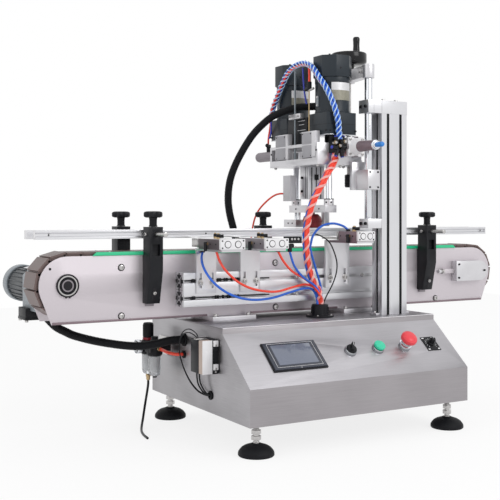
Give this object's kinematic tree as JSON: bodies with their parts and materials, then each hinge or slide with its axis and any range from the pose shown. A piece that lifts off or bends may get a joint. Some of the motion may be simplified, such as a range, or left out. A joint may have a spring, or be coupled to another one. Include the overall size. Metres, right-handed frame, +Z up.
{
  "type": "bottle capping machine",
  "caption": "Desktop bottle capping machine: slat conveyor with side rails and bottle clamps on a sloped cabinet, and a column-guided capping head lifted by a handwheel.",
  "frame": {"origin": "on the floor, under the middle of the overall box", "axes": "+X along the conveyor, from its drive end to its take-up end; +Y from the operator's side to the back; +Z up"},
  "size_m": [1.3472, 0.6594, 0.9981],
  "materials": {
    "stainless": "fine brushed",
    "stainless_plate": "bead blasted",
    "aluminium": "clear anodised",
    "chrome": "ground and plated",
    "bright_steel": "turned",
    "black_plastic": "fine moulded grain",
    "black_hose": "extruded",
    "motor_paint": "semi-gloss enamel",
    "slat_plastic": "moulded acetal",
    "green_strip": "extruded polyethylene",
    "green_cap": "moulded",
    "red_cap": "moulded",
    "silicone": "cast silicone",
    "air_hose": "extruded polyurethane"
  },
  "bodies": {
    "frame": {"cabinet_shell": "stainless", "top_deck": "stainless", "foot_front_left": "black_plastic", "foot_front_right": "black_plastic", "foot_rear_left": "black_plastic", "foot_rear_right": "black_plastic", "hmi_panel": "black_plastic", "deck_gland": "black_plastic", "frl_unit": "black_plastic", "relay_block": "black_plastic", "drain_hose": "black_hose", "conveyor_front_plate": "stainless_plate", "conveyor_rear_plate": "stainless_plate", "conveyor_bed": "stainless_plate", "slat_chain": "slat_plastic", "wear_strip_front": "green_strip", "wear_strip_rear": "green_strip", "drive_gearmotor": "motor_paint", "takeup_cover": "aluminium", "bracket_front_1": "black_plastic", "bracket_front_2": "black_plastic", "bracket_rear_1": "black_plastic", "bracket_rear_2": "black_plastic", "bracket_rear_3": "black_plastic", "column": "aluminium", "guide_rod": "chrome", "lift_arm": "aluminium", "cross_beam": "aluminium", "clamp_station_1": "aluminium", "clamp_station_2": "aluminium", "clamp_station_3": "aluminium", "conduit_left": "black_hose", "conduit_head": "black_hose", "hose_bundle": "air_hose"},
    "head": {"carriage": "aluminium", "head_frame": "aluminium", "capping_motor_front": "motor_paint", "capping_motor_rear": "motor_paint", "press_cylinder": "aluminium"},
    "press": {"press_plate": "aluminium"},
    "chuck": {"chuck": "silicone"},
    "handwheel": {"handwheel": "black_plastic"},
    "grip": {"handwheel_grip": "black_plastic"},
    "front_rail": {"rail_front": "aluminium"},
    "rear_rail": {"rail_rear": "aluminium"},
    "knob_front_1": {"star_knob_front_1": "black_plastic"},
    "knob_front_2": {"star_knob_front_2": "black_plastic"},
    "knob_rear_1": {"star_knob_rear_1": "black_plastic"},
    "knob_rear_2": {"star_knob_rear_2": "black_plastic"},
    "knob_rear_3": {"star_knob_rear_3": "black_plastic"},
    "clamp_1": {"clamp_rods_1": "bright_steel"},
    "clamp_2": {"clamp_rods_2": "bright_steel"},
    "clamp_3": {"clamp_rods_3": "bright_steel"},
    "drive": {"drive_shaft": "bright_steel"},
    "idler": {"idler_shaft": "bright_steel"},
    "selector": {"selector_knob": "black_plastic"},
    "start": {"start_button": "green_cap"},
    "estop": {"estop_head": "red_cap"},
    "speed": {"speed_knob": "black_plastic"},
    "regulator": {"regulator_knob": "black_plastic"}
  },
  "joints": [
    {"name": "head_lift", "type": "slide", "parent": "frame", "child": "head", "axis": [0, 0, 1], "range_m": [-0.012, 0.12], "deforming": ["conduit_head", "hose_bundle"]},
    {"name": "handwheel_turn", "type": "hinge", "parent": "frame", "child": "handwheel", "pos_m": [0.1715, -0.039, 0.9053], "axis": [0, 0, 1], "range_deg": [-4330, 440]},
    {"name": "grip_spin", "type": "hinge", "parent": "handwheel", "child": "grip", "pos_m": [0.2035, -0.028, 0.9496], "axis": [0, 0, 1], "continuous": true},
    {"name": "press_stroke", "type": "slide", "parent": "head", "child": "press", "axis": [0, 0, -1], "range_m": [0, 0.022]},
    {"name": "chuck_spin", "type": "hinge", "parent": "press", "child": "chuck", "pos_m": [0.0825, 0.002, 0.526], "axis": [0, 0, 1], "continuous": true},
    {"name": "rail_front_slide", "type": "slide", "parent": "frame", "child": "front_rail", "axis": [0, 1, 0], "range_m": [-0.008, 0.015]},
    {"name": "rail_rear_slide", "type": "slide", "parent": "frame", "child": "rear_rail", "axis": [0, -1, 0], "range_m": [-0.008, 0.015]},
    {"name": "knob_front_1_turn", "type": "hinge", "parent": "frame", "child": "knob_front_1", "pos_m": [-0.4025, -0.066, 0.4963], "axis": [0, 0, 1], "range_deg": [0, 360]},
    {"name": "knob_front_2_turn", "type": "hinge", "parent": "frame", "child": "knob_front_2", "pos_m": [0.4145, -0.066, 0.4963], "axis": [0, 0, 1], "range_deg": [0, 360]},
    {"name": "knob_rear_1_turn", "type": "hinge", "parent": "frame", "child": "knob_rear_1", "pos_m": [-0.427, 0.07, 0.4963], "axis": [0, 0, 1], "range_deg": [0, 360]},
    {"name": "knob_rear_2_turn", "type": "hinge", "parent": "frame", "child": "knob_rear_2", "pos_m": [-0.0275, 0.07, 0.4963], "axis": [0, 0, 1], "range_deg": [0, 360]},
    {"name": "knob_rear_3_turn", "type": "hinge", "parent": "frame", "child": "knob_rear_3", "pos_m": [0.4145, 0.07, 0.4963], "axis": [0, 0, 1], "range_deg": [0, 360]},
    {"name": "clamp_1_slide", "type": "slide", "parent": "frame", "child": "clamp_1", "axis": [0, 1, 0], "range_m": [0, 0.03]},
    {"name": "clamp_2_slide", "type": "slide", "parent": "frame", "child": "clamp_2", "axis": [0, 1, 0], "range_m": [0, 0.03]},
    {"name": "clamp_3_slide", "type": "slide", "parent": "frame", "child": "clamp_3", "axis": [0, 1, 0], "range_m": [0, 0.03]},
    {"name": "drive_turn", "type": "hinge", "parent": "frame", "child": "drive", "pos_m": [-0.6, 0.002, 0.366], "axis": [0, 1, 0], "continuous": true},
    {"name": "idler_turn", "type": "hinge", "parent": "frame", "child": "idler", "pos_m": [0.6, 0.002, 0.366], "axis": [0, 1, 0], "continuous": true},
    {"name": "selector_turn", "type": "hinge", "parent": "frame", "child": "selector", "pos_m": [0.012, -0.26372, 0.20243], "axis": [0, -0.6429, 0.7659], "range_deg": [0, 60]},
    {"name": "start_push", "type": "slide", "parent": "frame", "child": "start", "axis": [0, 0.6429, -0.7659], "range_m": [0, 0.003], "stiffness_N_per_m": 300},
    {"name": "estop_push", "type": "slide", "parent": "frame", "child": "estop", "axis": [0, 0.6429, -0.7659], "range_m": [0, 0.004]},
    {"name": "speed_turn", "type": "hinge", "parent": "frame", "child": "speed", "pos_m": [0.2585, -0.26143, 0.20436], "axis": [0, -0.6429, 0.7659], "range_deg": [-135, 135]},
    {"name": "regulator_turn", "type": "hinge", "parent": "frame", "child": "regulator", "pos_m": [-0.3325, 0.123, 0.2163], "axis": [0, 0, 1], "range_deg": [-360, 360]}
  ],
  "couplings": [
    {"joint": "handwheel_turn", "follows": "head_lift", "rad_per_m": -628.32},
    {"joint": "idler_turn", "follows": "drive_turn", "ratio": 1}
  ]
}
